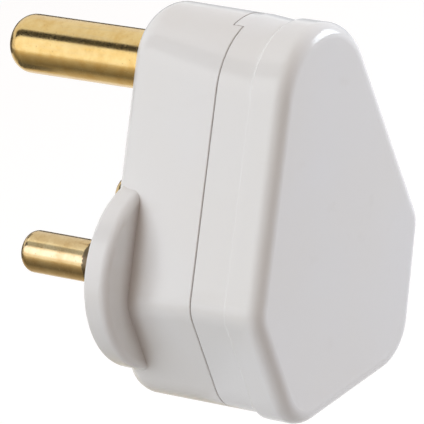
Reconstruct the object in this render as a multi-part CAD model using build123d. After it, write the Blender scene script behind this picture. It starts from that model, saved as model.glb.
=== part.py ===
from build123d import *
import math
import os

# Round pin plug, three solid brass pins in a two-shell moulded body, upright as it sits in a socket
# Millimetres, +Z up towards the earth pin, +Y along the pins away from the body
# The origin is the point of the pin face midway between the live and neutral pins

# Pins, the known sizes of the small three-pin round plug
EARTH_PIN_R = 7.06 / 2
EARTH_PIN_LENGTH = 20.6
EARTH_TIP_ROUND = 2.5
SMALL_PIN_R = 5.08 / 2
SMALL_PIN_LENGTH = 14.9
SMALL_TIP_ROUND = 1.4
PIN_SPACING = 19.05
EARTH_HEIGHT = 22.23
PIN_COLLAR = 0.3
PIN_FIT = 0.03

# Terminal heads of the pins, inside the body
EARTH_HEAD_R = 4.2
SMALL_HEAD_R = 4.0
HEAD_FLAT_SHARE = 0.92
HEAD_END_CHAMFER = 0.4
WIRE_HOLE_R = 1.7
WIRE_HOLE_FROM_END = 3.1

# Body outline at the seam, half widths and heights of the six corners
TOP_HALF_WIDTH = 6.3
TOP_ABOVE_EARTH_PIN = 7.07
TOP_HEIGHT = EARTH_HEIGHT + TOP_ABOVE_EARTH_PIN
TOP_CORNER_R = 9.3
TOP_ARC_SHARE = 0.985
MID_HALF_WIDTH = 17.62
MID_HEIGHT = 0.0
MID_CORNER_R = 4.0
FOOT_HALF_WIDTH = 12.57
FOOT_HEIGHT = -15.35
FOOT_CORNER_R = 6.4

# The pin face is a little smaller than the seam and widely rounded at its edge
FACE_UPPER_DRAFT = 1.4
FACE_LOWER_DRAFT = 0.3
FACE_TOP_RISE = 0.5
FACE_TOP_HEIGHT = TOP_HEIGHT + FACE_TOP_RISE
FACE_TOP_CORNER_R = 8.1
FACE_FOOT_RISE = 0.2
FACE_FOOT_HEIGHT = FOOT_HEIGHT + FACE_FOOT_RISE
FACE_FOOT_CORNER_R = 4.8
FACE_EDGE_ROUND = 3.2

# Depths behind the pin face
BODY_DEPTH = 22.87
COVER_DEPTH = 9.3
SEAM_DEPTH = BODY_DEPTH - COVER_DEPTH
COVER_SKIRT = 4.33
RIM_DEPTH = SEAM_DEPTH + COVER_SKIRT

# The seam shows as a narrow gap between slightly broken edges
SEAM_EDGE_BREAK = 0.08
SEAM_GAP = 0.1
SEAM_GAP_REACH = 0.7

# Cover rim, which stands a little proud of the rest of the cover
COVER_TOP_DIP = 0.45
COVER_SIDE_DIP = 0.04
RIM_FOOT_PROUD = 0.7
RIM_FRONT_ROUND = 0.5
REAR_EDGE_ROUND = 1.7

# Finger wings, discs about the live and neutral pins set back a little from the pin face
WING_R = 11.45
WING_SETBACK = 1.3
WING_HEIGHT = 0.15
WING_THICKNESS = 3.2
WING_BACK_ROUND = 1.0
WING_FRONT_ROUND = 0.5

# Walls
WALL = 2.2
FACE_WALL = 3.2
REAR_WALL = 2.4
INNER_CORNER_R = 1.2
LIP_HEIGHT = 1.0
LIP_WALL = 0.9
LIP_GAP = 0.2

# Locating tab of the cover in the top of the base
TAB_WIDTH = 4.4
TAB_LENGTH = 1.2
TAB_GAP = 0.1

# Ends of the pin heads, just clear of the tab and the lip
HEAD_END_CLEARANCE = 0.17
HEAD_END_BEHIND_FACE = SEAM_DEPTH - TAB_LENGTH - HEAD_END_CLEARANCE
WIRE_HOLE_BEHIND_FACE = HEAD_END_BEHIND_FACE - WIRE_HOLE_FROM_END

# Pockets of the base that keep the pin heads from turning
POCKET_WALL = 1.3
POCKET_DEPTH = 4.2
POCKET_GAP = 0.1
WIRE_SLOT_WIDTH = 4.0

# Hold-down posts of the cover, each bearing on the end of a pin head
HOLD_POST_BORE_R = 3.2
HOLD_POST_WALL = 1.0
HOLD_POST_GAP = 0.05

# Terminal screws, slotted
TERMINAL_THREAD_R = 1.75
TERMINAL_SCREW_LENGTH = 3.2
TERMINAL_HEAD_R = 2.8
TERMINAL_HEAD_HEIGHT = 2.0
SLOT_WIDTH = 0.9
SLOT_DEPTH = 1.0
SCREW_FIT = 0.02
SCREW_TIP_SHARE = 0.2
SCREW_HEAD_ROUND_SHARE = 0.2

# Cover screw and the threaded insert that it draws on
COVER_SCREW_HEIGHT = 9.0
COVER_SCREW_R = 2.0
COVER_SCREW_HEAD_R = 3.6
COVER_SCREW_HEAD_HEIGHT = 2.0
COUNTERBORE_R = 3.85
COUNTERBORE_DEPTH = 2.3
COUNTERBORE_PAD_R = 5.2
COUNTERBORE_PAD_DEPTH = 5.0
SCREW_POST_R = 3.7
SCREW_CLEARANCE_R = 2.15
INSERT_R = 2.75
INSERT_LENGTH = 5.5
COVER_SCREW_TIP_SHORT = 0.77
COVER_SCREW_LENGTH = SEAM_DEPTH + INSERT_LENGTH - COUNTERBORE_DEPTH - COVER_SCREW_TIP_SHORT
INSERT_GROOVE = 0.25
INSERT_GROOVE_WIDTH = 1.5
INSERT_BOSS_WALL = 1.5
INSERT_POCKET_SPARE = 0.8

# Cord entry and cord grip, with no cord fitted
CORD_ENTRY_R = 4.2
CORD_ENTRY_CHAMFER = 0.5
GRIP_BORE_R = 3.7
GRIP_THICKNESS = 1.5
GRIP_WIDTH = 4.6
GRIP_HALF_SPAN = 9.9
GRIP_HEIGHT = -9.2
GRIP_FOOT_CLEARANCE = 0.27
GRIP_FOOT_DEPTH = SEAM_DEPTH - LIP_HEIGHT - GRIP_FOOT_CLEARANCE
GRIP_SCREW_SPACING = 15.0
GRIP_CORNER_ROUND = 1.2
GRIP_SCREW_R = 1.4
GRIP_SCREW_HEAD_R = 2.2
GRIP_SCREW_HEAD_HEIGHT = 1.7
GRIP_SCREW_HOLE_R = 1.6
GRIP_POST_R = 2.4
GRIP_POST_FLOOR = 0.8
GRIP_POST_BORE_DEPTH = GRIP_FOOT_DEPTH - FACE_WALL - GRIP_POST_FLOOR
GRIP_SCREW_TIP_SHORT = 1.3
GRIP_SCREW_LENGTH = GRIP_POST_BORE_DEPTH - GRIP_SCREW_TIP_SHORT
CRADLE_HALF_WIDTH = 5.0
CRADLE_WALL = 1.3

# Longer than any hole is deep, and closer than any two edges lie
THROUGH = 40.0
TOUCH = 0.02

SMALL_PIN_X = PIN_SPACING / 2
GRIP_SCREW_X = GRIP_SCREW_SPACING / 2


# Where things lie: depth is measured back from the pin face, and a section looks forwards
def section_plane(depth, x=0.0, z=0.0):
    return Plane(origin=(x, -depth, z), x_dir=(1, 0, 0), z_dir=(0, -1, 0))


def rod(radius, depth_from, depth_to, x=0.0, z=0.0):
    disc = section_plane(depth_from, x, z) * Circle(radius)
    return extrude(disc, amount=depth_to - depth_from)


def block(x_from, x_to, depth_from, depth_to, z_from, z_to):
    size = (x_to - x_from, depth_to - depth_from, z_to - z_from)
    middle = ((x_from + x_to) / 2, -(depth_from + depth_to) / 2, (z_from + z_to) / 2)
    return Pos(*middle) * Box(*size)


def outline(upper_inset=0.0, lower_inset=0.0, top=TOP_HEIGHT, foot=FOOT_HEIGHT, radii=None):
    """The six-cornered outline of the body, its upper and lower sides moved in"""
    top_r, mid_r, foot_r = radii or (TOP_CORNER_R, MID_CORNER_R, FOOT_CORNER_R)
    upper_slope = (MID_HALF_WIDTH - TOP_HALF_WIDTH) / (TOP_HEIGHT - MID_HEIGHT)
    lower_slope = (MID_HALF_WIDTH - FOOT_HALF_WIDTH) / (MID_HEIGHT - FOOT_HEIGHT)
    upper_shift = upper_inset * math.hypot(1, upper_slope)
    lower_shift = lower_inset * math.hypot(1, lower_slope)
    drop = (upper_shift - lower_shift) / (upper_slope + lower_slope)
    mid = MID_HEIGHT - drop
    mid_x = MID_HALF_WIDTH - upper_shift + upper_slope * drop
    top_x = mid_x - upper_slope * (top - mid)
    foot_x = mid_x - lower_slope * (mid - foot)
    half_turn = (math.pi / 2 - math.atan(upper_slope)) / 2
    top_r = min(top_r, TOP_ARC_SHARE * top_x / math.tan(half_turn))
    right = [(top_x, top), (mid_x, mid), (foot_x, foot)]
    left = [(-x, z) for x, z in reversed(right)]
    shape = make_face(Polyline(*right, *left, close=True))
    for height, radius in ((top, top_r), (mid, mid_r), (foot, foot_r)):
        corners = [v for v in shape.vertices() if abs(v.Y - height) < TOUCH]
        shape = fillet(corners, radius)
    return shape


def tapered(depth_from, near, depth_to, far):
    """A solid that runs from one outline to the other"""
    return loft([section_plane(depth_from) * near, section_plane(depth_to) * far], ruled=True)


def inner_outline(upper_inset, lower_inset):
    """The outline of the hollow, one wall in from the body's"""
    return outline(
        upper_inset=upper_inset + WALL,
        lower_inset=lower_inset + WALL,
        top=TOP_HEIGHT - COVER_TOP_DIP - WALL,
        foot=FOOT_HEIGHT + WALL,
        radii=(TOP_CORNER_R - WALL, INNER_CORNER_R, FOOT_CORNER_R - WALL),
    )


def slotted_screw(thread_r, length, head_r, head_height, seat_depth, x=0.0, z=0.0):
    """A cheese-head screw driven from behind, its head seated at seat_depth"""
    screw = rod(thread_r, seat_depth - length, seat_depth, x, z)
    tip = screw.faces().sort_by(Axis.Y)[-1]
    screw = chamfer(tip.edges(), thread_r * SCREW_TIP_SHARE)
    head = rod(head_r, seat_depth, seat_depth + head_height, x, z)
    head = fillet(head.faces().sort_by(Axis.Y)[0].edges(), head_height * SCREW_HEAD_ROUND_SHARE)
    head_end = seat_depth + head_height
    slot = block(
        x - head_r, x + head_r, head_end - SLOT_DEPTH, head_end + SLOT_DEPTH,
        z - SLOT_WIDTH / 2, z + SLOT_WIDTH / 2,
    )
    return screw + (head - slot)


# Base housing, drafted from the seam to the pin face
seam_outline = outline()
face_outline = outline(
    upper_inset=FACE_UPPER_DRAFT,
    lower_inset=FACE_LOWER_DRAFT,
    top=FACE_TOP_HEIGHT,
    foot=FACE_FOOT_HEIGHT,
    radii=(FACE_TOP_CORNER_R, MID_CORNER_R, FACE_FOOT_CORNER_R),
)
broken_outline = outline(
    SEAM_EDGE_BREAK, SEAM_EDGE_BREAK, top=TOP_HEIGHT - SEAM_EDGE_BREAK, foot=FOOT_HEIGHT + SEAM_EDGE_BREAK,
)
break_depth = SEAM_DEPTH - SEAM_EDGE_BREAK
base = tapered(0, face_outline, break_depth, seam_outline)
base = fillet(base.faces().sort_by(Axis.Y)[-1].edges(), FACE_EDGE_ROUND)
base += tapered(break_depth, seam_outline, SEAM_DEPTH, broken_outline)

for side in (-1, 1):
    wing = rod(WING_R, WING_SETBACK, WING_SETBACK + WING_THICKNESS, side * SMALL_PIN_X, WING_HEIGHT)
    wing = fillet(wing.faces().sort_by(Axis.Y)[0].edges(), WING_BACK_ROUND)
    wing = fillet(wing.faces().sort_by(Axis.Y)[-1].edges(), WING_FRONT_ROUND)
    base += wing

# The hollow of the base follows the drafted walls
draft_left = (SEAM_DEPTH - FACE_WALL) / SEAM_DEPTH
inside = tapered(
    FACE_WALL, inner_outline(FACE_UPPER_DRAFT * draft_left, FACE_LOWER_DRAFT * draft_left),
    SEAM_DEPTH, inner_outline(0, 0),
)
base -= inside


# Pocket walls, posts and cradle inside the base, each rooted in the face wall
def head_section(radius, gap=0.0):
    """A turned head with two milled flats"""
    flat = 2 * (radius * HEAD_FLAT_SHARE + gap)
    return Circle(radius + gap) & Rectangle(flat, 2 * (radius + gap))


pins = {
    "earth": (EARTH_PIN_R, EARTH_PIN_LENGTH, EARTH_TIP_ROUND, EARTH_HEAD_R, 0.0, EARTH_HEIGHT),
    "live": (SMALL_PIN_R, SMALL_PIN_LENGTH, SMALL_TIP_ROUND, SMALL_HEAD_R, SMALL_PIN_X, 0.0),
    "neutral": (SMALL_PIN_R, SMALL_PIN_LENGTH, SMALL_TIP_ROUND, SMALL_HEAD_R, -SMALL_PIN_X, 0.0),
}
pocket_end = FACE_WALL + POCKET_DEPTH

for pin_r, pin_length, tip_round, head_r, x, z in pins.values():
    wall = rod(head_r + POCKET_GAP + POCKET_WALL, FACE_WALL, pocket_end, x, z) & inside
    base += wall
    pocket = section_plane(FACE_WALL, x, z) * head_section(head_r, POCKET_GAP)
    base -= extrude(pocket, amount=POCKET_DEPTH)
    wire_slot = WIRE_SLOT_WIDTH / 2
    reach = head_r + POCKET_GAP + 2 * POCKET_WALL
    base -= block(x - wire_slot, x + wire_slot, FACE_WALL + POCKET_DEPTH / 2, pocket_end, z - reach, z)
    base -= rod(pin_r + PIN_COLLAR + PIN_FIT, 0, FACE_WALL, x, z)

base += rod(COUNTERBORE_PAD_R, FACE_WALL, COUNTERBORE_PAD_DEPTH, 0, COVER_SCREW_HEIGHT)
base += rod(SCREW_POST_R, FACE_WALL, SEAM_DEPTH - HOLD_POST_GAP, 0, COVER_SCREW_HEIGHT)
base -= rod(SCREW_CLEARANCE_R, 0, SEAM_DEPTH, 0, COVER_SCREW_HEIGHT)
base -= rod(COUNTERBORE_R, 0, COUNTERBORE_DEPTH, 0, COVER_SCREW_HEIGHT)

for side in (-1, 1):
    post = rod(GRIP_POST_R, FACE_WALL, GRIP_FOOT_DEPTH, side * GRIP_SCREW_X, GRIP_HEIGHT)
    bore = rod(
        GRIP_SCREW_R + SCREW_FIT, GRIP_FOOT_DEPTH - GRIP_POST_BORE_DEPTH, GRIP_FOOT_DEPTH,
        side * GRIP_SCREW_X, GRIP_HEIGHT,
    )
    base += post
    base -= bore

cord_line = Plane(origin=(0, -SEAM_DEPTH, 0), x_dir=(1, 0, 0), z_dir=(0, 0, 1))
for height in (GRIP_HEIGHT - GRIP_WIDTH / 2, GRIP_HEIGHT + GRIP_WIDTH / 2 - CRADLE_WALL):
    rib = block(
        -CRADLE_HALF_WIDTH, CRADLE_HALF_WIDTH, FACE_WALL, GRIP_FOOT_DEPTH,
        height, height + CRADLE_WALL,
    )
    base += rib - cord_line * Cylinder(GRIP_BORE_R, THROUGH)


# Cord entry, half in the base and half in the cover
def cord_entry():
    foot = FOOT_HEIGHT - RIM_FOOT_PROUD
    hole = Pos(0, -SEAM_DEPTH, foot) * Cylinder(CORD_ENTRY_R, 2 * (WALL + RIM_FOOT_PROUD + INNER_CORNER_R))
    mouth = Pos(0, -SEAM_DEPTH, FOOT_HEIGHT) * Cone(
        CORD_ENTRY_R, CORD_ENTRY_R + CORD_ENTRY_CHAMFER, CORD_ENTRY_CHAMFER,
        align=(Align.CENTER, Align.CENTER, Align.MAX),
        rotation=(180, 0, 0),
    )
    return hole + mouth


tab_gap_half = TAB_WIDTH / 2 + TAB_GAP
base -= block(
    -tab_gap_half, tab_gap_half, SEAM_DEPTH - TAB_LENGTH - TAB_GAP, SEAM_DEPTH,
    TOP_HEIGHT - 2 * WALL, TOP_HEIGHT + WALL,
)
base -= cord_entry()

# Rear cover: a skirt that dips a little, then the proud rim and the flat back
dipped_outline = outline(COVER_SIDE_DIP, COVER_SIDE_DIP, top=TOP_HEIGHT - COVER_TOP_DIP)
rim_outline = outline(foot=FOOT_HEIGHT - RIM_FOOT_PROUD)
gap_end = SEAM_DEPTH + SEAM_GAP
skirt_from = gap_end + SEAM_EDGE_BREAK
bearing_outline = outline(
    SEAM_GAP_REACH, SEAM_GAP_REACH, top=TOP_HEIGHT - SEAM_GAP_REACH, foot=FOOT_HEIGHT + SEAM_GAP_REACH,
)
skirt = tapered(skirt_from, seam_outline, RIM_DEPTH, dipped_outline)
cover = skirt + extrude(section_plane(RIM_DEPTH) * dipped_outline, amount=RIM_FRONT_ROUND)
cover += tapered(gap_end, broken_outline, skirt_from, seam_outline)
cover += extrude(section_plane(SEAM_DEPTH) * bearing_outline, amount=SEAM_GAP)
rim = extrude(section_plane(RIM_DEPTH) * rim_outline, amount=BODY_DEPTH - RIM_DEPTH)
rim = fillet(rim.faces().sort_by(Axis.Y)[0].edges(), REAR_EDGE_ROUND)
rim = fillet(rim.faces().sort_by(Axis.Y)[-1].edges(), RIM_FRONT_ROUND)
cover += rim
rear_inside = BODY_DEPTH - REAR_WALL
cover_hollow = inner_outline(COVER_SIDE_DIP, COVER_SIDE_DIP)
cover -= extrude(section_plane(SEAM_DEPTH) * cover_hollow, amount=rear_inside - SEAM_DEPTH)

# The lip inside the seam and the tab on top locate the cover on the base
lip_outer = offset(cover_hollow, amount=-LIP_GAP)
lip_inner = offset(cover_hollow, amount=-LIP_GAP - LIP_WALL)
lip_root = SEAM_DEPTH + LIP_HEIGHT
lip = extrude(section_plane(SEAM_DEPTH - LIP_HEIGHT) * (lip_outer - lip_inner), amount=2 * LIP_HEIGHT)
lip_root_ring = cover_hollow - lip_inner
lip += extrude(section_plane(SEAM_DEPTH) * lip_root_ring, amount=LIP_HEIGHT)
cover += lip
tab = block(
    -TAB_WIDTH / 2, TAB_WIDTH / 2, SEAM_DEPTH - TAB_LENGTH, lip_root,
    TOP_HEIGHT - COVER_TOP_DIP - WALL - LIP_GAP - LIP_WALL, TOP_HEIGHT + WALL,
)
tab_trim = skirt + extrude(
    section_plane(SEAM_DEPTH - TAB_LENGTH) * seam_outline, amount=TAB_LENGTH + SEAM_GAP + SEAM_EDGE_BREAK
)
cover += tab & tab_trim

# Hold-down posts bear on the pin heads, clear of the terminal screws
for pin_r, pin_length, tip_round, head_r, x, z in pins.values():
    post_from = HEAD_END_BEHIND_FACE + HOLD_POST_GAP
    post = rod(HOLD_POST_BORE_R + HOLD_POST_WALL, post_from, rear_inside, x, z)
    cover += post - rod(HOLD_POST_BORE_R, post_from, rear_inside, x, z)

boss = rod(INSERT_R + INSERT_BOSS_WALL, SEAM_DEPTH, rear_inside, 0, COVER_SCREW_HEIGHT)
cover += boss
cover -= rod(INSERT_R, SEAM_DEPTH, SEAM_DEPTH + INSERT_LENGTH + INSERT_POCKET_SPARE, 0, COVER_SCREW_HEIGHT)
cover -= cord_entry()


# Brass pins, each turned in one piece: shank, a collar in the face wall, and the terminal head
def brass_pin(pin_r, pin_length, tip_round, head_r, x, z):
    shank = rod(pin_r, -pin_length, 0, x, z)
    shank = fillet(shank.faces().sort_by(Axis.Y)[-1].edges(), tip_round)
    collar = rod(pin_r + PIN_COLLAR, 0, FACE_WALL, x, z)
    head = rod(head_r, FACE_WALL, HEAD_END_BEHIND_FACE, x, z)
    head = chamfer(head.faces().sort_by(Axis.Y)[0].edges(), HEAD_END_CHAMFER)
    flats = section_plane(FACE_WALL, x, z) * head_section(head_r)
    head &= extrude(flats, amount=HEAD_END_BEHIND_FACE - FACE_WALL)
    wire_hole = Pos(x, -WIRE_HOLE_BEHIND_FACE, z) * Cylinder(WIRE_HOLE_R, THROUGH)
    thread = rod(TERMINAL_THREAD_R + SCREW_FIT, WIRE_HOLE_BEHIND_FACE, HEAD_END_BEHIND_FACE, x, z)
    return shank + collar + head - wire_hole - thread


def terminal_screw(pin_r, pin_length, tip_round, head_r, x, z):
    return slotted_screw(
        TERMINAL_THREAD_R, TERMINAL_SCREW_LENGTH, TERMINAL_HEAD_R, TERMINAL_HEAD_HEIGHT,
        HEAD_END_BEHIND_FACE, x, z,
    )


# Cover screw, driven from the pin face, and its brass insert in the cover
cover_screw = slotted_screw(
    COVER_SCREW_R, COVER_SCREW_LENGTH, COVER_SCREW_HEAD_R, COVER_SCREW_HEAD_HEIGHT, 0, 0, 0
)
cover_screw = Pos(0, -COUNTERBORE_DEPTH, COVER_SCREW_HEIGHT) * Rot(0, 0, 180) * cover_screw
insert_middle = SEAM_DEPTH + INSERT_LENGTH / 2
insert = rod(INSERT_R, SEAM_DEPTH, SEAM_DEPTH + INSERT_LENGTH, 0, COVER_SCREW_HEIGHT)
insert -= rod(COVER_SCREW_R + SCREW_FIT, 0, BODY_DEPTH, 0, COVER_SCREW_HEIGHT)
groove = rod(
    INSERT_R + INSERT_GROOVE, insert_middle - INSERT_GROOVE_WIDTH / 2,
    insert_middle + INSERT_GROOVE_WIDTH / 2, 0, COVER_SCREW_HEIGHT,
)
insert -= groove - rod(INSERT_R - INSERT_GROOVE, 0, BODY_DEPTH, 0, COVER_SCREW_HEIGHT)

# Cord grip: an arched strap over the cord's place, held by two screws
arch_outer_r = GRIP_BORE_R + GRIP_THICKNESS
feet = Pos(0, -GRIP_FOOT_DEPTH - GRIP_THICKNESS / 2) * Rectangle(2 * GRIP_HALF_SPAN, GRIP_THICKNESS)
arch = Pos(0, -SEAM_DEPTH) * Circle(arch_outer_r)
arch &= Pos(0, -GRIP_FOOT_DEPTH - arch_outer_r) * Rectangle(2 * arch_outer_r, 2 * arch_outer_r)
gap = Pos(0, -SEAM_DEPTH) * Circle(GRIP_BORE_R)
gap += Pos(0, -SEAM_DEPTH + GRIP_THICKNESS) * Rectangle(2 * GRIP_BORE_R, 2 * GRIP_THICKNESS)
strap = extrude(feet + arch - gap, amount=GRIP_WIDTH)
strap = Pos(0, 0, GRIP_HEIGHT - GRIP_WIDTH / 2) * strap
foot_edges = strap.edges().filter_by(Axis.Y)
outer_corners = [e for e in foot_edges if abs(e.center().X) > GRIP_HALF_SPAN - TOUCH]
strap = fillet(outer_corners, GRIP_CORNER_ROUND)
for side in (-1, 1):
    strap -= rod(GRIP_SCREW_HOLE_R, 0, BODY_DEPTH, side * GRIP_SCREW_X, GRIP_HEIGHT)


def grip_screw(side):
    return slotted_screw(
        GRIP_SCREW_R, GRIP_SCREW_LENGTH + GRIP_THICKNESS, GRIP_SCREW_HEAD_R, GRIP_SCREW_HEAD_HEIGHT,
        GRIP_FOOT_DEPTH + GRIP_THICKNESS + SCREW_FIT, side * GRIP_SCREW_X, GRIP_HEIGHT,
    )


nodes = {
    "base_housing": base,
    "rear_cover": cover,
    "cover_screw": cover_screw,
    "cover_insert": insert,
    "cord_grip_strap": strap,
    "cord_grip_screw_right": grip_screw(1),
    "cord_grip_screw_left": grip_screw(-1),
}
for name, sizes in pins.items():
    nodes[f"{name}_pin"] = brass_pin(*sizes)
    nodes[f"{name}_terminal_screw"] = terminal_screw(*sizes)

os.makedirs("parts", exist_ok=True)
for name, shape in nodes.items():
    export_step(shape, f"parts/{name}.step")
    print(name, round(shape.volume), "cubic mm")
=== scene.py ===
# %% [markdown]
# # A round pin plug
# The solids of the plug come ready made from the CAD frame, in metres: two white
# mouldings, three brass pins, the screws, an insert and the cord grip. This lesson
# dresses them. Each finish is a small tree of shader nodes, written for one real
# surface of the plug, and the studio is built last around the finished object.

# %% Load the frame
import math

import bpy
from mathutils import Matrix, Vector


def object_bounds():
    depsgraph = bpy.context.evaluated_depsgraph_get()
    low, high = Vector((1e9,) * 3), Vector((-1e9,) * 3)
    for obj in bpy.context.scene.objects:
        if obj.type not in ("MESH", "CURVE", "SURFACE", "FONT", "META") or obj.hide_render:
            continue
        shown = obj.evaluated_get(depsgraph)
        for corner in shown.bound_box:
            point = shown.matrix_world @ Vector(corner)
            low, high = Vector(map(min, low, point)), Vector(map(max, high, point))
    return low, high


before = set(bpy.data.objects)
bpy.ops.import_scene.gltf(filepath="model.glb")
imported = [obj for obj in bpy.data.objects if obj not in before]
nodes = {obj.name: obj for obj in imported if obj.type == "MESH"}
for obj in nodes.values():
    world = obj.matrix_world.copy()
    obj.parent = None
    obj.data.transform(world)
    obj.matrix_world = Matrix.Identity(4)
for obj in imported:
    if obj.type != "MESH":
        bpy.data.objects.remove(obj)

cad_low, cad_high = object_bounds()
print("nodes in the frame:", len(nodes))
print("size in millimetres:", [round(1000 * side, 2) for side in cad_high - cad_low])

# %% [markdown]
# ## Measures
# Blender works in metres. Small lengths are written in millimetres, as on the maker's
# drawing, and `MM` turns them into metres. The wide measures of the studio are written
# in metres straight away. Colours are picked the way a picture editor shows them, from
# 0 to 255, and are turned into the linear values that light works in.

# %% Millimetres and colours
MM = 0.001


def tone(red, green, blue):
    """A colour as a picture editor gives it, made linear for a shader"""
    def linear(value):
        share = value / 255
        return share / 12.92 if share <= 0.04045 else ((share + 0.055) / 1.055) ** 2.4
    return (linear(red), linear(green), linear(blue), 1.0)


def grey(value):
    return (value, value, value, 1.0)


WHITE = grey(1.0)
print("a tone of 128 is", round(tone(128, 128, 128)[0], 3), "in linear light")

# %% [markdown]
# ## A short way to write node trees
# A finish is a set of nodes and the wires between them. They could be placed by hand in
# the shader editor, but a written tree is easier to read and to repeat. `NodeSheet`
# keeps the writing short: `add` makes a node and sets its inputs, and an input that is
# given another node's output is wired to it. A number that is the same all over a
# surface goes straight on the shader's own input.

# %% Node sheets
class NodeSheet:
    """The node tree of a material or of the world, written on an empty page"""

    def __init__(self, owner):
        owner.use_nodes = True
        self.owner = owner
        self.tree = owner.node_tree
        self.tree.nodes.clear()

    def add(self, kind, settings=None, **inputs):
        """Makes a node. An input goes by its name, or by i and its number"""
        node = self.tree.nodes.new(kind)
        for key, value in (settings or {}).items():
            setattr(node, key, value)
        for key, value in inputs.items():
            number = key[1:]
            socket = node.inputs[int(number) if number.isdigit() else key.replace("_", " ")]
            if isinstance(value, bpy.types.NodeSocket):
                self.tree.links.new(value, socket)
            else:
                socket.default_value = value
        return node

    def math(self, operation, first, second):
        return self.add("ShaderNodeMath", {"operation": operation}, i0=first, i1=second).outputs[0]

    def mix(self, share, first, second):
        """The first shader where the share is 0, the second where it is 1"""
        return self.add("ShaderNodeMixShader", i0=share, i1=first.outputs[0], i2=second.outputs[0])

    def finish(self, shader, output="ShaderNodeOutputMaterial"):
        out = self.add(output)
        self.tree.links.new(shader.outputs[0], out.inputs[0])
        return self.owner


print("a node sheet can", [word for word in vars(NodeSheet) if not word.startswith("_")])

# %% [markdown]
# A surface needs a few more words: where a point lies, a cloudy noise, a way to spread a
# value over a new range, a blend of two colours, and a bump. `SurfaceSheet` adds them.
# The place is counted in millimetres, so a noise of scale 1 has cells of about 1 mm.

# %% Sheets for a surface
class SurfaceSheet(NodeSheet):
    """The node sheet of a new material"""

    def __init__(self, name):
        super().__init__(bpy.data.materials.new(name))

    def place(self, stretch=(1.0, 1.0, 1.0)):
        """Where a point lies on the object, in millimetres, stretched along the axes"""
        where = self.add("ShaderNodeTexCoord").outputs["Object"]
        scale = tuple(side / MM for side in stretch)
        return self.add("ShaderNodeMapping", Vector=where, Scale=scale).outputs[0]

    def noise(self, where, scale, detail=2.0, roughness=0.5):
        inputs = {"Vector": where, "Scale": scale, "Detail": detail, "Roughness": roughness}
        return self.add("ShaderNodeTexNoise", **inputs).outputs[0]

    def spread(self, value, low, high, to_low=0.0, to_high=1.0):
        """Spreads the part of a value between low and high over a new range"""
        node = self.add(
            "ShaderNodeMapRange", {"clamp": True},
            Value=value, From_Min=low, From_Max=high, To_Min=to_low, To_Max=to_high,
        )
        return node.outputs[0]

    def blend(self, share, first, second):
        """The first colour where the share is 0, the second where it is 1"""
        node = self.add("ShaderNodeMix", {"data_type": "RGBA"}, i0=share, i6=first, i7=second)
        return node.outputs[2]

    def bump(self, height, depth_mm, strength, below=None):
        """Raises the surface by a height, on top of another bump where one is given"""
        inputs = {"Height": height, "Distance": depth_mm * MM, "Strength": strength}
        if below is not None:
            inputs["Normal"] = below
        return self.add("ShaderNodeBump", **inputs).outputs[0]


print("a surface sheet adds", [word for word in vars(SurfaceSheet) if not word.startswith("_")])

# %% [markdown]
# ## Painted shade in the corners
# The corners and creases of the white shells get a warm brown tone of painted shade,
# where less light reaches. It could be painted by hand. The ambient occlusion node finds
# the corners by itself, and the painted shade thins out again in the tight seam, which
# stays pale.

# %% Painted corner shade
# Painted shade: how far from a corner, how strongly and in what warm tone the white is darkened
CORNER_SHADE_REACH = 2.8 * MM
CORNER_SHADE_MOST = 0.58
PAINTED_CORNER_SHADE_TONE = tone(147, 122, 104)


def painted_corner_shade(sheet):
    """How much painted shade lies here: most in a corner, none in the open or in the tight seam"""
    corners = sheet.add(
        "ShaderNodeAmbientOcclusion", {"samples": 8, "only_local": False}, Distance=CORNER_SHADE_REACH,
    )
    openness = corners.outputs["AO"]
    corner_depth = sheet.spread(openness, low=0.3, high=0.85, to_low=CORNER_SHADE_MOST, to_high=0.0)
    reached = sheet.spread(openness, low=0.12, high=0.3)
    return sheet.math("MULTIPLY", corner_depth, reached)


print("painted shade reaches within", round(CORNER_SHADE_REACH / MM, 1), "mm of a corner")

# %% [markdown]
# ## White moulded plastic
# Both shells are pressed from a hard white thermoset that leaves the mould with a
# clean gloss. One flat colour would look like paper. What makes it look real is very
# quiet: a slow drift of warmth and brightness across a shell, faint streaks where it
# flowed in the mould, a skin that is not perfectly flat, and a gloss that is a little
# duller in some places than in others. The cover is pressed from its own batch, a touch
# whiter than the base, and its drift and skin are shifted, so that the two don't match.

# %% The white shells
SHELL_WHITE = (240, 240, 240)
COVER_WHITE = (243, 244, 245)
COVER_SHIFT_MM = 37.0
FLOW_TONE = tone(228, 226, 221)


def white_moulding(name, body_tone, shift_mm=0.0):
    sheet = SurfaceSheet(name)
    shift = (shift_mm, 0.0, 0.0)
    moved = sheet.add("ShaderNodeVectorMath", {"operation": "ADD"}, i0=sheet.place(), i1=shift)
    pattern = moved.outputs[0]
    grain = sheet.noise(pattern, scale=9.0)

    red, green, blue = body_tone
    drift = sheet.spread(sheet.noise(pattern, scale=0.06), low=0.35, high=0.65)
    colour = sheet.blend(drift, tone(red, green, blue), tone(red, green - 1, blue - 3))
    flow = sheet.noise(sheet.place(stretch=(0.5, 0.12, 0.5)), scale=0.5, detail=3.0)
    colour = sheet.blend(sheet.spread(flow, low=0.62, high=0.8, to_high=0.25), colour, FLOW_TONE)
    # Painted shade: corners and creases are blended towards a warm brown by the ambient occlusion
    # mask
    colour = sheet.blend(painted_corner_shade(sheet), colour, PAINTED_CORNER_SHADE_TONE)

    surface = sheet.bump(sheet.noise(pattern, scale=1.1), depth_mm=0.012, strength=0.6)
    surface = sheet.bump(grain, depth_mm=0.002, strength=0.5, below=surface)
    shader = sheet.add(
        "ShaderNodeBsdfPrincipled", Base_Color=colour, Normal=surface,
        Roughness=sheet.spread(grain, low=0.3, high=0.7, to_low=0.13, to_high=0.18),
        Specular_IOR_Level=0.5, IOR=1.5,
    )
    return sheet.finish(shader)


shell_finish = white_moulding("white_moulding", SHELL_WHITE)
cover_finish = white_moulding("white_cover_moulding", COVER_WHITE, shift_mm=COVER_SHIFT_MM)
print("white shells: base", SHELL_WHITE, "and cover", COVER_WHITE)
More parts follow.
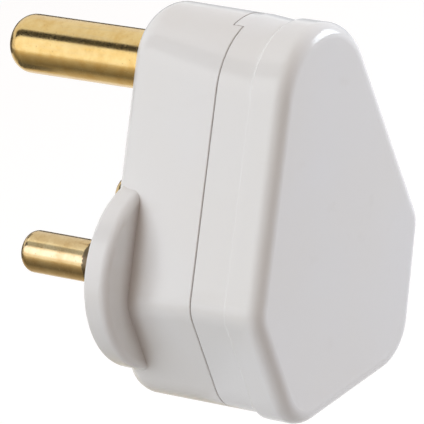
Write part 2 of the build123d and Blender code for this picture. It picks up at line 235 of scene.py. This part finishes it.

# %% [markdown]
# ## The painted shade ring
# Each small pin gets a dark ring of painted shade, where the pin mirrors the shaded rim of
# the wing beside it. It could be a thin band of its own, but it has no thickness, so it is
# part of the finish: a range along Y, in millimetres from the pin face, whose edges sway
# with a noise.

# %% Painted shade ring
# Painted shade: where the dark ring lies along each small pin, and its tone
RING_START = 3.5
RING_END = 5.3
RING_START_FADE = 0.3
RING_END_FADE = 0.12
PAINTED_SHADE_RING_TONE = tone(74, 66, 52)


def painted_shade_ring(sheet, where):
    """1 where a pin gets its ring of painted shade, 0 elsewhere"""
    along = sheet.add("ShaderNodeSeparateXYZ", Vector=where).outputs[1]
    wobble = sheet.noise(where, scale=1.6)
    sway = sheet.spread(wobble, low=0.3, high=0.7, to_low=-0.15, to_high=0.15)
    ragged = sheet.math("ADD", along, sway)
    after_start = sheet.spread(ragged, low=RING_START - RING_START_FADE, high=RING_START)
    before_end = sheet.spread(
        ragged, low=RING_END, high=RING_END + RING_END_FADE, to_low=1.0, to_high=0.0,
    )
    return sheet.math("MULTIPLY", after_start, before_end)


print("painted shade ring", round(RING_END - RING_START, 1), "mm wide")

# %% [markdown]
# ## Polished brass
# The pins are turned from brass bar and polished, so they mirror the studio in long
# bands. Fine rings from the turning tool run round them. They could be cut into the
# solid, but they are only thousandths of a millimetre deep, so a stretched noise makes
# them: long round the pin and short along it. Use leaves pale streaks along the pin,
# small dull freckles and a browner bloom. The small pins are a little greyer than the
# earth pin.

# %% The brass pins
STREAK_TONE = tone(206, 184, 140)
FRECKLE_TONE = tone(150, 112, 60)


def polished_brass(name, clean_tone, bloom_tone, painted_shade_ringed=False):
    sheet = SurfaceSheet(name)
    where = sheet.place()
    bloom = sheet.noise(where, scale=0.55, detail=3.0, roughness=0.6)
    colour = sheet.blend(sheet.spread(bloom, low=0.4, high=0.68), clean_tone, bloom_tone)
    streaks = sheet.noise(sheet.place(stretch=(1.4, 0.12, 1.4)), scale=1.2, detail=3.0)
    colour = sheet.blend(sheet.spread(streaks, low=0.5, high=0.75, to_high=0.45), colour, STREAK_TONE)
    freckles = sheet.noise(where, scale=3.4, detail=3.0, roughness=0.7)
    spots = sheet.spread(freckles, low=0.62, high=0.72, to_high=0.55)
    colour = sheet.blend(spots, colour, FRECKLE_TONE)

    rings = sheet.noise(sheet.place(stretch=(0.25, 7.0, 0.25)), scale=1.0, detail=4.0, roughness=0.7)
    rough = sheet.spread(rings, low=0.3, high=0.7, to_low=0.14, to_high=0.24)
    rough = sheet.math("ADD", rough, sheet.math("MULTIPLY", spots, 0.3))
    if painted_shade_ringed:
        # Painted shade: the small pins are darkened in a ring where they mirror the shaded rim of the
        # wing
        ring = painted_shade_ring(sheet, where)
        colour = sheet.blend(sheet.math("MULTIPLY", ring, 0.85), colour, PAINTED_SHADE_RING_TONE)
        rough = sheet.math("ADD", rough, sheet.math("MULTIPLY", ring, 0.2))

    surface = sheet.bump(rings, depth_mm=0.003, strength=0.5)
    surface = sheet.bump(bloom, depth_mm=0.02, strength=0.4, below=surface)
    shader = sheet.add(
        "ShaderNodeBsdfPrincipled", Metallic=1.0, Base_Color=colour, Roughness=rough, Normal=surface,
    )
    return sheet.finish(shader)


earth_brass = polished_brass("polished_brass_earth", tone(226, 197, 136), tone(216, 180, 112))
small_brass = polished_brass(
    "polished_brass_small", tone(214, 189, 141), tone(200, 170, 119), painted_shade_ringed=True,
)
print("brass pins:", earth_brass.name, "and", small_brass.name)

# %% [markdown]
# ## Zinc plate
# The screws are steel with a bright zinc plate: greyer than chrome, faintly blue, and
# clouded. Their turning rings are made as those of the pins are, by a stretched noise.

# %% Zinc plate on the screws
def zinc_plate():
    sheet = SurfaceSheet("zinc_plate")
    cloud = sheet.noise(sheet.place(), scale=0.9, detail=3.0)
    rings = sheet.noise(sheet.place(stretch=(0.4, 6.0, 0.4)), scale=1.0, detail=3.0)
    tint = sheet.spread(cloud, low=0.35, high=0.65)
    shader = sheet.add(
        "ShaderNodeBsdfPrincipled", Metallic=1.0,
        Base_Color=sheet.blend(tint, tone(200, 203, 208), tone(178, 180, 182)),
        Roughness=sheet.spread(cloud, low=0.3, high=0.7, to_low=0.28, to_high=0.4),
        Normal=sheet.bump(rings, depth_mm=0.004, strength=0.5),
    )
    return sheet.finish(shader)


plate = zinc_plate()
print("screws:", plate.name)

# %% [markdown]
# ## Raw brass
# The insert is pressed into the cover and never polished. Its brass is duller and more
# clouded than that of the pins, and one noise gives it tint, gloss and height.

# %% Raw brass on the insert
def raw_brass():
    sheet = SurfaceSheet("raw_brass")
    cloud = sheet.noise(sheet.place(), scale=1.2, detail=3.0)
    tint = sheet.spread(cloud, low=0.35, high=0.65)
    shader = sheet.add(
        "ShaderNodeBsdfPrincipled", Metallic=1.0,
        Base_Color=sheet.blend(tint, tone(205, 168, 96), tone(176, 138, 78)),
        Roughness=sheet.spread(cloud, low=0.3, high=0.7, to_low=0.34, to_high=0.46),
        Normal=sheet.bump(cloud, depth_mm=0.01, strength=0.5),
    )
    return sheet.finish(shader)


insert_brass = raw_brass()
print("insert:", insert_brass.name)

# %% [markdown]
# ## Matt moulding
# The grip strap has to hold a cord and not to shine, so it is moulded matt. A fine
# grain in its gloss and height breaks up the light.

# %% Matt moulding on the strap
def matt_moulding():
    sheet = SurfaceSheet("matt_moulding")
    where = sheet.place()
    cloud = sheet.noise(where, scale=0.5, detail=3.0)
    grain = sheet.noise(where, scale=7.0, detail=3.0)
    tint = sheet.spread(cloud, low=0.35, high=0.65)
    shader = sheet.add(
        "ShaderNodeBsdfPrincipled",
        Base_Color=sheet.blend(tint, tone(222, 218, 208), tone(208, 202, 190)),
        Roughness=sheet.spread(grain, low=0.3, high=0.7, to_low=0.55, to_high=0.7),
        Normal=sheet.bump(grain, depth_mm=0.01, strength=0.6),
    )
    return sheet.finish(shader)


grip_moulding = matt_moulding()
print("grip strap:", grip_moulding.name)

# %% [markdown]
# ## Hand out the finishes
# The CAD solids stay as they are. Only what is in their material slots changes. A piece
# that the table doesn't name is a screw and gets the zinc plate.

# %% Dress the CAD nodes
FINISHES = {
    "base_housing": shell_finish,
    "rear_cover": cover_finish,
    "cover_insert": insert_brass,
    "cord_grip_strap": grip_moulding,
    "earth_pin": earth_brass,
    "live_pin": small_brass,
    "neutral_pin": small_brass,
}

for name, node in nodes.items():
    node.data.materials.clear()
    node.data.materials.append(FINISHES.get(name, plate))
    print(name, "wears", node.data.materials[0].name)

# %% [markdown]
# ## Rays that look and rays that light
# A floor or a room that looks white would also throw so much light at the plug that its
# shades would drown. The light path node tells what a ray is for. So one value can
# stand for what the camera and a mirror see, and another for the light on the plug.

# %% Rays that look
def looked_at(sheet):
    """1 for a ray that looks straight, by eye, mirror or glass, and 0 for soft light"""
    path = sheet.add("ShaderNodeLightPath").outputs
    sharp = sheet.math("MAXIMUM", path["Is Camera Ray"], path["Is Glossy Ray"])
    return sheet.math("MAXIMUM", sharp, path["Is Transmission Ray"])


print("made", looked_at.__name__)

# %% [markdown]
# ## The floor
# The photograph shows the plug alone on white. A wide white floor lies some way below
# it and catches a soft shadow there. A lamp strong enough to turn it white would bleach
# the plug as well. So the floor is lifted to white with a little emission, but only for
# rays that look. For the light that bounces back onto the plug it stays plain paint,
# and from below it is clear.

# %% White floor
FLOOR_BELOW_FOOT = 30.0 * MM
FLOOR_HALF = 3.0
FLOOR_PAINT = 0.5
FLOOR_LIFT = 0.62
SQUARE = ((-1, -1), (1, -1), (1, 1), (-1, 1))


def floor_finish():
    sheet = SurfaceSheet("white_floor")
    paint = sheet.add("ShaderNodeBsdfDiffuse", Color=grey(FLOOR_PAINT))
    lift = sheet.add("ShaderNodeEmission", Color=WHITE, Strength=FLOOR_LIFT)
    lifted = sheet.add("ShaderNodeAddShader", i0=paint.outputs[0], i1=lift.outputs[0])
    above = sheet.mix(looked_at(sheet), paint, lifted)
    clear = sheet.add("ShaderNodeBsdfTransparent")
    from_below = sheet.add("ShaderNodeNewGeometry").outputs["Backfacing"]
    return sheet.finish(sheet.mix(from_below, above, clear))


def flat_face(name, corners, finish):
    """An object with one face of four corners"""
    mesh = bpy.data.meshes.new(name)
    mesh.from_pydata([tuple(corner) for corner in corners], [], [(0, 1, 2, 3)])
    mesh.materials.append(finish)
    face = bpy.data.objects.new(name, mesh)
    bpy.context.scene.collection.objects.link(face)
    return face


floor_height = cad_low.z - FLOOR_BELOW_FOOT
floor_corners = [(x * FLOOR_HALF, y * FLOOR_HALF, floor_height) for x, y in SQUARE]
floor = flat_face("floor", floor_corners, floor_finish())
print("floor at", round(floor_height / MM, 1), "mm")

# %% [markdown]
# ## The room
# A plain world gives the even light that fills every shadow. It is a little warm, which
# makes the shaded sides of the white plastic brownish, as in the photograph. Rays that
# look see the world as white.

# %% World
AMBIENT = 0.38
SHADE_COLOUR = (1.0, 0.81, 0.675, 1.0)

world = bpy.data.worlds.new("white_room")
bpy.context.scene.world = world
room = NodeSheet(world)
fill = room.add("ShaderNodeBackground", Color=SHADE_COLOUR, Strength=AMBIENT)
white = room.add("ShaderNodeBackground", Color=WHITE, Strength=1.0)
room.finish(room.mix(looked_at(room), fill, white), output="ShaderNodeOutputWorld")
print("ambient strength", AMBIENT)

# %% [markdown]
# ## Softboxes
# Softboxes stand to the left, to the right and above, so each face of the body keeps
# its own tone. They are a little cool, against the warm fill of the room, so that the
# lit faces come out neutral. Most are kept out of the gloss, where they would show as
# patches. Only the right one is mirrored: it makes the highlight on the cover's top
# round. The rear one stands in the same place, unmirrored and bluer, and tints the back.

# %% Lamps
AIM = Vector((0.0, -8.0, 8.0)) * MM
LAMP_DISTANCE = 0.6
LAMP_COLOUR = (0.85, 0.93, 1.0)
COOL_COLOUR = (0.62, 0.72, 1.0)
RIGHT_AND_BEHIND = (0.8, -0.55, 0.24)


def softbox(name, direction, width, height, brightness,
            distance=LAMP_DISTANCE, mirrored=False, colour=LAMP_COLOUR):
    """A flat lamp that faces the plug, as bright to look at as `brightness` times white"""
    data = bpy.data.lights.new(name, "AREA")
    data.shape = "RECTANGLE"
    data.size = width
    data.size_y = height
    data.energy = brightness * math.pi * width * height
    data.color = colour
    lamp = bpy.data.objects.new(name, data)
    lamp.location = AIM + Vector(direction).normalized() * distance
    lamp.rotation_euler = (AIM - lamp.location).to_track_quat("-Z", "Y").to_euler()
    lamp.visible_camera = False
    lamp.visible_glossy = mirrored
    bpy.context.scene.collection.objects.link(lamp)
    return lamp


softbox("left_softbox", (-0.79, 0.53, 0.25), width=0.45, height=0.62, brightness=2.86)
softbox("right_softbox", RIGHT_AND_BEHIND, width=0.27, height=0.27, brightness=6.9, mirrored=True)
softbox("rear_softbox", RIGHT_AND_BEHIND, width=0.27, height=0.27, brightness=2.7, colour=COOL_COLOUR)
softbox("top_softbox", (0.24, -0.1, 0.96), width=0.2, height=0.12, brightness=11.2)

# %% [markdown]
# ## What a pin mirrors
# A polished pin has no tone of its own: it shows whatever stands around it. A round pin
# keeps the part of a ray that runs along it and turns the rest about its axis. Of the
# camera's ray about 0.555 runs along the pins and 0.832 across them, so one angle round
# a pin is enough to say where it looks.

# %% Mirrored directions
MIRROR_FORWARD = 0.555
MIRROR_SIDE = 0.832


def mirrored_direction(angle):
    """What a pin mirrors at an angle round its axis, in degrees up from the left"""
    turn = math.radians(angle)
    return Vector((-math.cos(turn) * MIRROR_SIDE, MIRROR_FORWARD, math.sin(turn) * MIRROR_SIDE))


def half_of_span(span, distance):
    """Half the height that fills a span of degrees, at a distance"""
    return distance * math.tan(math.radians(span / 2)) * MIRROR_SIDE


print("the left side of a pin mirrors", [round(part, 2) for part in mirrored_direction(0)])

# %% [markdown]
# ## Cards for the pins
# A studio photographer hangs cards between the lamps, and each card becomes a band
# along the pin: a dark one, a bright one and a dark one again. Here a card is a face
# with an even glow. Only gloss sees it, so it gives no soft light and casts no shadow.

# %% Cards
CARD_DISTANCE = 0.4
CARD_REACH = 0.25


def paper(name, corners, finish):
    """A sheet that only gloss can see"""
    sheet_object = flat_face(name, corners, finish)
    sheet_object.visible_camera = False
    sheet_object.visible_diffuse = False
    sheet_object.visible_shadow = False
    return sheet_object


def glow(name, strength):
    sheet = SurfaceSheet(name)
    return sheet.finish(sheet.add("ShaderNodeEmission", Color=WHITE, Strength=strength))


def card(name, angle, span, shade, distance=CARD_DISTANCE):
    """A card of a shade of white, at an angle round the pins"""
    turn = math.radians(angle)
    direction = mirrored_direction(angle)
    across = Vector((math.sin(turn), 0.0, math.cos(turn)))
    along = direction.cross(across).normalized()
    middle = AIM + direction * distance
    half = half_of_span(span, distance)
    corners = [middle + across * half * a + along * CARD_REACH * b for a, b in SQUARE]
    return paper(name, corners, glow(name + "_paper", shade))


cards = [
    card("upper_card", angle=59, span=24, shade=0.03),
    card("bright_card", angle=20, span=54, shade=1.4, distance=0.41),
    card("far_card", angle=185, span=34, shade=0.05),
]
print("cards:", [made.name for made in cards])

# %% [markdown]
# The lower half of a pin mirrors the floor beside the plug. In the photograph it shows a
# warm dim band there, with a lighter edge. A sheet just above the floor gives it: it is
# darkest some way to the left and lightens to both sides. Its finish counts along X in
# millimetres, as `place` does.

# %% Dim floor
SHADOW_COLOUR = (1.0, 0.88, 0.66, 1.0)
SHADOW_ABOVE_FLOOR = 1.0 * MM
SHADOW_LEFT = -300.0 * MM
SHADOW_RIGHT = 20.0 * MM
SHADOW_BACK = 10.0 * MM
SHADOW_FRONT = 320.0 * MM
FAR_X = -260.0
DARKEST_X = -40.0
NEAR_X = 15.0
FAR_SHADE = 1.0
DARKEST_SHADE = 0.2
NEAR_SHADE = 0.8


def floor_shadow_finish():
    sheet = SurfaceSheet("floor_shadow_paper")
    x = sheet.add("ShaderNodeSeparateXYZ", Vector=sheet.place()).outputs[0]
    near = sheet.spread(x, low=DARKEST_X, high=NEAR_X, to_low=DARKEST_SHADE, to_high=NEAR_SHADE)
    far = sheet.spread(x, low=FAR_X, high=DARKEST_X, to_low=FAR_SHADE - DARKEST_SHADE, to_high=0.0)
    shade = sheet.math("ADD", near, far)
    return sheet.finish(sheet.add("ShaderNodeEmission", Color=SHADOW_COLOUR, Strength=shade))


shadow_outline = (
    (SHADOW_LEFT, SHADOW_BACK), (SHADOW_RIGHT, SHADOW_BACK),
    (SHADOW_RIGHT, SHADOW_FRONT), (SHADOW_LEFT, SHADOW_FRONT),
)
shadow_corners = [(x, y, floor_height + SHADOW_ABOVE_FLOOR) for x, y in shadow_outline]
paper("floor_shadow", shadow_corners, floor_shadow_finish())
print("dim floor, darkest at", DARKEST_X, "mm")

# %% [markdown]
# The domed tips mirror what lies straight ahead of them. A small dark card close to the
# tip of each pin that the camera sees gives its rim a brown edge.

# %% Tip cards
TIP_CARD_GAP = 22.0 * MM
TIP_CARD_HALF = 7.0 * MM
TIP_CARD_SHADE = 0.12
AWAY = Vector((0.12, 0.97, -0.12)).normalized()
UP = Vector((0.0, 0.0, 1.0))
SEEN_PINS = ("earth_pin", "neutral_pin")


def tip_card(pin_name):
    """A dark card straight ahead of the tip of a pin"""
    box = [nodes[pin_name].matrix_world @ Vector(corner) for corner in nodes[pin_name].bound_box]
    middle_x = sum(corner.x for corner in box) / len(box)
    middle_z = sum(corner.z for corner in box) / len(box)
    tip = Vector((middle_x, max(corner.y for corner in box), middle_z))
    middle = tip + AWAY * TIP_CARD_GAP
    across = AWAY.cross(UP).normalized()
    upward = across.cross(AWAY)
    corners = [middle + (across * a + upward * b) * TIP_CARD_HALF for a, b in SQUARE]
    return paper(pin_name + "_tip_card", corners, glow(pin_name + "_tip_paper", TIP_CARD_SHADE))


for name in SEEN_PINS:
    print("made", tip_card(name).name)

# %% [markdown]
# ## Lamps for chosen pieces
# The two small pins sit lower, and in the photograph they catch more light than the
# long one. Two slim lamps are flagged off from all else, so only the small pins mirror
# them: one along the bright band, and one that fills the dark card's line. The far card
# would also darken the edges of the white shells, so a third lamp lifts it for them.

# %% Linked lamps
LINKED_DISTANCE = 0.4
LINKED_LENGTH = 0.5
BAND_COLOUR = (0.5, 0.55, 1.0)
SMALL_PINS = ("live_pin", "neutral_pin")
SHELLS = ("base_housing", "rear_cover")


def linked_lamp(name, receivers, angle, span, brightness, colour=LAMP_COLOUR):
    """A slim mirrored lamp, at an angle round the pins, that lights the receivers alone"""
    lamp = softbox(
        name, mirrored_direction(angle), width=LINKED_LENGTH,
        height=2 * half_of_span(span, LINKED_DISTANCE), brightness=brightness,
        distance=LINKED_DISTANCE, mirrored=True, colour=colour,
    )
    linked = bpy.data.collections.new(name + "_receivers")
    for receiver in receivers:
        linked.objects.link(nodes[receiver])
    lamp.light_linking.receiver_collection = linked
    print(name, "lights", receivers)


linked_lamp("band_lamp", SMALL_PINS, angle=21, span=30, brightness=1.35, colour=BAND_COLOUR)
linked_lamp("line_lamp", SMALL_PINS, angle=59, span=21, brightness=0.62)
linked_lamp("edge_lamp", SHELLS, angle=185, span=44, brightness=0.45)

# %% [markdown]
# ## The camera
# Its place was solved from the pins, whose sizes are known, so the render lies over the
# photograph. The three directions are the camera's right, down and forward.

# %% Camera
CAMERA_PLACE = Vector((-350.157, -261.387, 175.832)) * MM
CAMERA_RIGHT = Vector((0.56047092, -0.82370524, -0.08591871))
CAMERA_DOWN = Vector((-0.35004964, -0.14159766, -0.92596725))
CAMERA_FORWARD = Vector((0.75055819, 0.54905353, -0.36769910))
FOCAL_PIXELS = 4000.0
IMAGE_PIXELS = 424.0
SENSOR_MM = 36.0
NEAREST = 0.01
FARTHEST = 20.0

camera_data = bpy.data.cameras.new("camera")
camera_data.sensor_width = SENSOR_MM
camera_data.lens = FOCAL_PIXELS / IMAGE_PIXELS * SENSOR_MM
camera_data.clip_start = NEAREST
camera_data.clip_end = FARTHEST
camera = bpy.data.objects.new("camera", camera_data)
turn = Matrix((CAMERA_RIGHT, -CAMERA_DOWN, -CAMERA_FORWARD)).transposed()
camera.matrix_world = Matrix.Translation(CAMERA_PLACE) @ turn.to_4x4()
bpy.context.scene.collection.objects.link(camera)
bpy.context.scene.camera = camera
bpy.context.scene.view_settings.view_transform = "Standard"
print("lens", round(camera_data.lens, 1), "mm")

# %% [markdown]
# ## The dressed plug
# The finishes add nothing to the solids.
